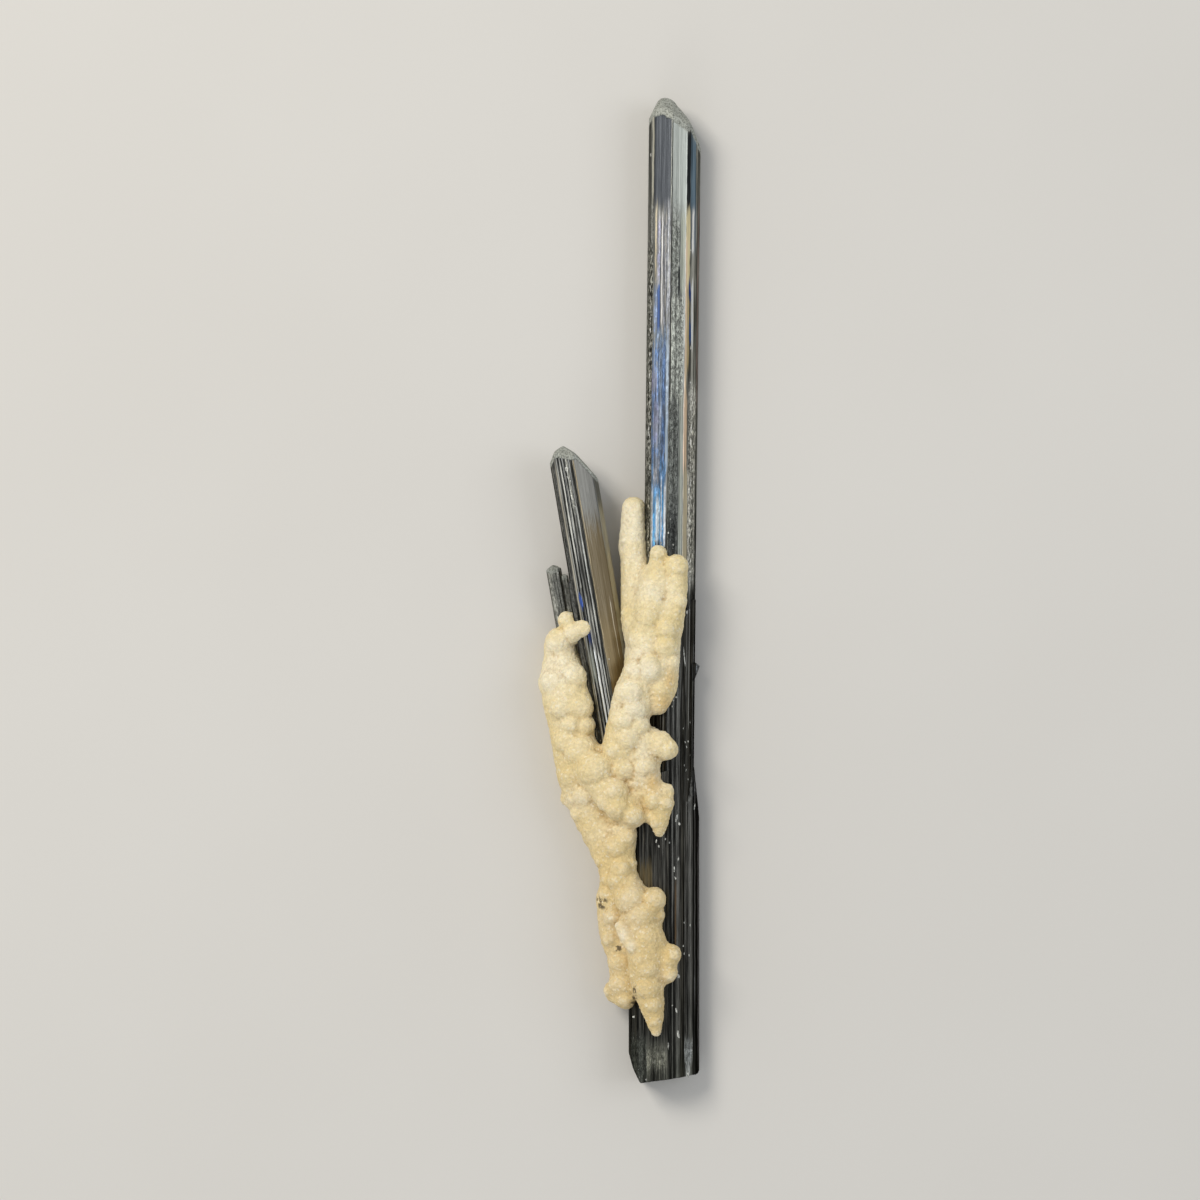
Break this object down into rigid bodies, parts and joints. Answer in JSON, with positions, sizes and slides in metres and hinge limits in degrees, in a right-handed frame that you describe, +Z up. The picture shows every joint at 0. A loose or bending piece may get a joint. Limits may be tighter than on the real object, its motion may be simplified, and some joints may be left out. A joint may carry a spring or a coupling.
{
  "type": "mineral specimen",
  "caption": "Long striated metallic-grey crystal with a shorter leaning one and small ones at its side, grown over by a lumpy cream calcite crust; lies on its flat back.",
  "frame": {"origin": "middle of the bounding box's bottom face, on the surface that the specimen lies on", "axes": "+Y along the long crystal towards its pointed tip, +Z up out of its front, towards the viewer of the picture, +X to the picture's right"},
  "size_m": [0.0296, 0.1798, 0.0137],
  "materials": {
    "stibnite": "metallic lead-grey, striated lengthwise, with a faint blue tarnish",
    "stibnite_side": "metallic lead-grey, ribbed on the left half, smooth and brownish on the right half",
    "stibnite_stub": "dark metallic grey with frosted tips",
    "calcite": "matt cream, sugary fine-grained"
  },
  "bodies": {
    "root": {"main_crystal": "stibnite", "side_crystal": "stibnite_side", "stub_crystals": "stibnite_stub", "calcite_crust": "calcite"}
  },
  "joints": []
}
